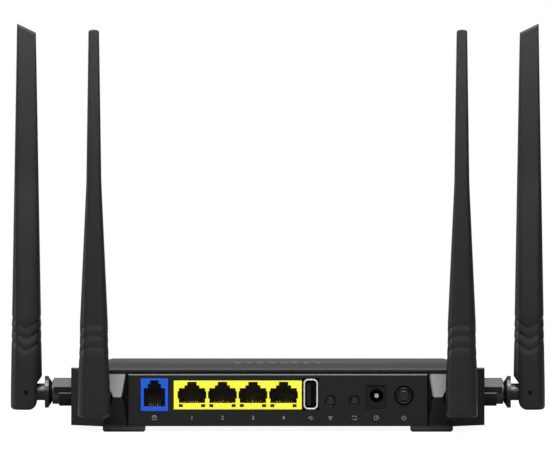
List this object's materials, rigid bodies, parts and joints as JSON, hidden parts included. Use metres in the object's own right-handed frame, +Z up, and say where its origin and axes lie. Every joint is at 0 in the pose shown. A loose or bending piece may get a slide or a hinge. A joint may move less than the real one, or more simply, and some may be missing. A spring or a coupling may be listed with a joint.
{
  "type": "wireless router",
  "caption": "Low black wireless router on four feet, with ports, buttons and a power inlet in its rear panel and hinged paddle antennas at its rear corners and sides.",
  "frame": {"origin": "on the table surface, at the centre of the whole object's footprint with the antennas upright", "axes": "+Z up; the port panel faces -Y; +X is to the right when the port panel is looked at"},
  "size_m": [0.2454, 0.1603, 0.1851],
  "materials": {
    "case_plastic": "satin, fine spark texture",
    "panel_plastic": "satin",
    "foot_rubber": "matt",
    "screw_steel": "zinc plated",
    "board_laminate": "solder mask",
    "blue_plastic": "satin",
    "yellow_plastic": "satin",
    "contact_gold": "gold plated",
    "contact_nickel": "nickel plated",
    "shell_steel": "tin plated",
    "white_plastic": "moulded",
    "socket_plastic": "moulded",
    "button_plastic": "satin",
    "led_lens": "clear",
    "clear_plastic": "frosted",
    "chip_plastic": "matt",
    "sink_aluminium": "anodised",
    "can_aluminium": "sleeved",
    "blade_plastic": "satin",
    "swivel_plastic": "satin",
    "bush_plastic": "satin",
    "lead_jacket": "satin"
  },
  "bodies": {
    "case": {"top_cover": "case_plastic", "bottom_case": "case_plastic", "rear_panel": "panel_plastic", "feet": "foot_rubber", "case_screws": "screw_steel", "main_board": "board_laminate", "board_screws": "screw_steel", "dsl_jack": "blue_plastic", "dsl_contacts": "contact_gold", "lan_jack": "yellow_plastic", "lan_contacts": "contact_gold", "usb_shell": "shell_steel", "usb_tongue": "socket_plastic", "dc_jack": "socket_plastic", "dc_pin": "contact_nickel", "power_switch": "socket_plastic", "wlan_switch": "socket_plastic", "wps_switch": "socket_plastic", "status_leds": "led_lens", "light_guide": "clear_plastic", "processor": "chip_plastic", "heat_sink": "sink_aluminium", "memory_chips": "chip_plastic", "radio_shield": "shell_steel", "line_transformers": "chip_plastic", "capacitors": "can_aluminium", "inductors": "chip_plastic", "side_right_bush": "bush_plastic", "side_right_coax": "lead_jacket", "side_left_bush": "bush_plastic", "side_left_coax": "lead_jacket", "rear_right_bush": "bush_plastic", "rear_right_coax": "lead_jacket", "rear_left_bush": "bush_plastic", "rear_left_coax": "lead_jacket"},
    "side_right_swivel": {"side_right_swivel": "swivel_plastic", "side_right_clip": "screw_steel", "side_right_pivot_pin": "screw_steel"},
    "side_right_antenna": {"side_right_blade": "blade_plastic", "side_right_radiator": "contact_gold"},
    "side_left_swivel": {"side_left_swivel": "swivel_plastic", "side_left_clip": "screw_steel", "side_left_pivot_pin": "screw_steel"},
    "side_left_antenna": {"side_left_blade": "blade_plastic", "side_left_radiator": "contact_gold"},
    "rear_right_swivel": {"rear_right_swivel": "swivel_plastic", "rear_right_clip": "screw_steel", "rear_right_pivot_pin": "screw_steel"},
    "rear_right_antenna": {"rear_right_blade": "blade_plastic", "rear_right_radiator": "contact_gold"},
    "rear_left_swivel": {"rear_left_swivel": "swivel_plastic", "rear_left_clip": "screw_steel", "rear_left_pivot_pin": "screw_steel"},
    "rear_left_antenna": {"rear_left_blade": "blade_plastic", "rear_left_radiator": "contact_gold"},
    "power_button": {"power_button": "button_plastic"},
    "wlan_button": {"wlan_button": "button_plastic"},
    "wps_button": {"wps_button": "button_plastic"}
  },
  "joints": [
    {"name": "side_right_turn", "type": "hinge", "parent": "case", "child": "side_right_swivel", "pos_m": [0.1157, -0.01584, 0.016], "axis": [1, 0, 0], "range_deg": [-90, 90]},
    {"name": "side_right_tilt", "type": "hinge", "parent": "side_right_swivel", "child": "side_right_antenna", "pos_m": [0.1157, -0.01584, 0.016], "axis": [0, 1, 0], "range_deg": [0, 90]},
    {"name": "side_left_turn", "type": "hinge", "parent": "case", "child": "side_left_swivel", "pos_m": [-0.1157, -0.01584, 0.016], "axis": [1, 0, 0], "range_deg": [-90, 90]},
    {"name": "side_left_tilt", "type": "hinge", "parent": "side_left_swivel", "child": "side_left_antenna", "pos_m": [-0.1157, -0.01584, 0.016], "axis": [0, -1, 0], "range_deg": [0, 90]},
    {"name": "rear_right_turn", "type": "hinge", "parent": "case", "child": "rear_right_swivel", "pos_m": [0.084, -0.07311, 0.016], "axis": [0, 1, 0], "range_deg": [-60, 60]},
    {"name": "rear_right_tilt", "type": "hinge", "parent": "rear_right_swivel", "child": "rear_right_antenna", "pos_m": [0.084, -0.07311, 0.016], "axis": [1, 0, 0], "range_deg": [0, 90]},
    {"name": "rear_left_turn", "type": "hinge", "parent": "case", "child": "rear_left_swivel", "pos_m": [-0.084, -0.07311, 0.016], "axis": [0, 1, 0], "range_deg": [-60, 60]},
    {"name": "rear_left_tilt", "type": "hinge", "parent": "rear_left_swivel", "child": "rear_left_antenna", "pos_m": [-0.084, -0.07311, 0.016], "axis": [1, 0, 0], "range_deg": [0, 90]},
    {"name": "power_press", "type": "slide", "parent": "case", "child": "power_button", "axis": [0, 1, 0], "range_m": [0, 0.0025], "stiffness_N_per_m": 1000},
    {"name": "wlan_press", "type": "slide", "parent": "case", "child": "wlan_button", "axis": [0, 1, 0], "range_m": [0, 0.001], "stiffness_N_per_m": 800},
    {"name": "wps_press", "type": "slide", "parent": "case", "child": "wps_button", "axis": [0, 1, 0], "range_m": [0, 0.001], "stiffness_N_per_m": 800}
  ]
}
